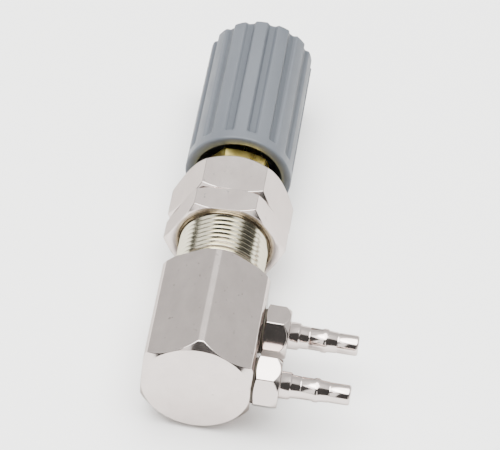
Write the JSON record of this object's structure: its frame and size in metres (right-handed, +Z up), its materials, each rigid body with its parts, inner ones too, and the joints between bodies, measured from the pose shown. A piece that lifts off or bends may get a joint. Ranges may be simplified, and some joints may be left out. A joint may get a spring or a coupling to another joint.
{
  "type": "flow control valve",
  "caption": "Panel-mount needle valve: hex-bar body with threaded neck and panel nuts, side-by-side hose barbs in one face, fluted knob on a rising stem.",
  "frame": {"origin": "on the valve axis, at the shoulder where the threaded neck leaves the hex body", "axes": "+Y along the valve axis towards the knob, +X the way the hose barbs point, +Z up with the valve lying on its side"},
  "size_m": [0.0281, 0.0636, 0.016],
  "materials": {
    "nickel_plate": "satin",
    "brass": "machined",
    "grey_plastic": "moulded",
    "steel": "machined",
    "rubber": "moulded",
    "white_plastic": "machined"
  },
  "bodies": {
    "valve": {"valve_body": "nickel_plate", "seat_insert": "white_plastic", "bonnet": "brass", "bonnet_gasket": "rubber", "inlet_barb": "nickel_plate", "inlet_gasket": "rubber", "outlet_barb": "nickel_plate", "outlet_gasket": "rubber"},
    "stem_seals": {"lower_o_ring": "rubber", "upper_o_ring": "rubber", "backup_ring": "white_plastic"},
    "knob_and_stem": {"stem": "brass", "needle": "steel", "knob": "grey_plastic", "knob_insert": "brass", "knob_washer": "steel", "knob_screw": "steel", "knob_cap": "grey_plastic"},
    "lower_nut": {"lower_panel_nut": "nickel_plate"},
    "upper_nut": {"upper_panel_nut": "nickel_plate"}
  },
  "joints": [
    {"name": "stem_rise", "type": "slide", "parent": "valve", "child": "stem_seals", "axis": [0, 1, 0], "range_m": [-0.00079, 0.00159]},
    {"name": "knob_turn", "type": "hinge", "parent": "stem_seals", "child": "knob_and_stem", "pos_m": [0, 0, 0], "axis": [0, 1, 0], "range_deg": [-360, 720]},
    {"name": "lower_nut_travel", "type": "slide", "parent": "valve", "child": "lower_nut", "axis": [0, 1, 0], "range_m": [-0.0076, 0]},
    {"name": "upper_nut_travel", "type": "slide", "parent": "valve", "child": "upper_nut", "axis": [0, 1, 0], "range_m": [0, 0.0024]}
  ],
  "couplings": [
    {"joint": "knob_turn", "follows": "stem_rise", "rad_per_m": 7913.3}
  ]
}
